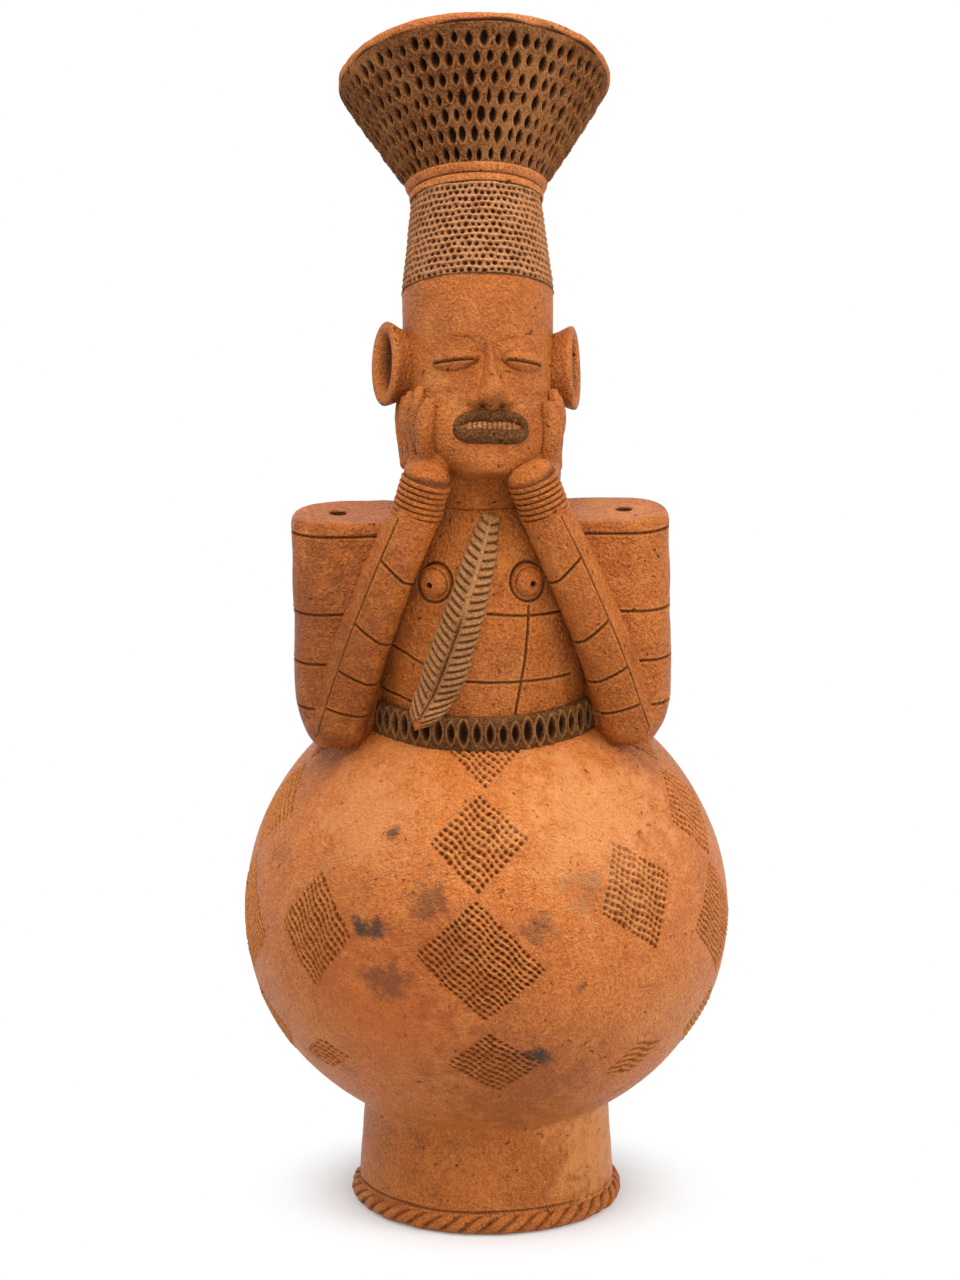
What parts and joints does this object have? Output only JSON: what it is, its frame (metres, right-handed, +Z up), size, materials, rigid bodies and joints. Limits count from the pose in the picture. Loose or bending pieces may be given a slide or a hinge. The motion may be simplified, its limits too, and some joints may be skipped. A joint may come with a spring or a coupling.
{
  "type": "anthropomorphic vessel",
  "caption": "Terracotta vessel: a hollow globe on a flared foot carries a half figure, elbows on the globe and chin in hands, whose tall flared headdress is the mouth.",
  "frame": {"origin": "middle of the foot's flat base", "axes": "+Z up; the figure looks along -Y; the figure's own left is +X"},
  "size_m": [0.1964, 0.1964, 0.4787],
  "materials": {
    "terracotta": "unglazed, hand-burnished, low sheen",
    "dark_clay": "unglazed, darkened by slip and smoke, matt"
  },
  "bodies": {
    "root": {"foot_ring": "terracotta", "foot_rope_edge": "terracotta", "globe_bowl": "terracotta", "waist_belt": "dark_clay", "torso": "terracotta", "feather_pendant": "dark_clay", "left_breast": "terracotta", "right_breast": "terracotta", "left_upper_arm": "terracotta", "right_upper_arm": "terracotta", "left_forearm": "terracotta", "right_forearm": "terracotta", "left_bracelets": "terracotta", "right_bracelets": "terracotta", "left_hand": "terracotta", "right_hand": "terracotta", "neck": "terracotta", "head": "terracotta", "nose": "terracotta", "left_eye": "terracotta", "right_eye": "terracotta", "upper_lip": "dark_clay", "lower_lip": "dark_clay", "teeth": "terracotta", "left_ear": "terracotta", "right_ear": "terracotta", "hair_tower": "dark_clay", "hair_collar": "terracotta", "hair_flare": "dark_clay", "mouth_rim": "terracotta"}
  },
  "joints": []
}
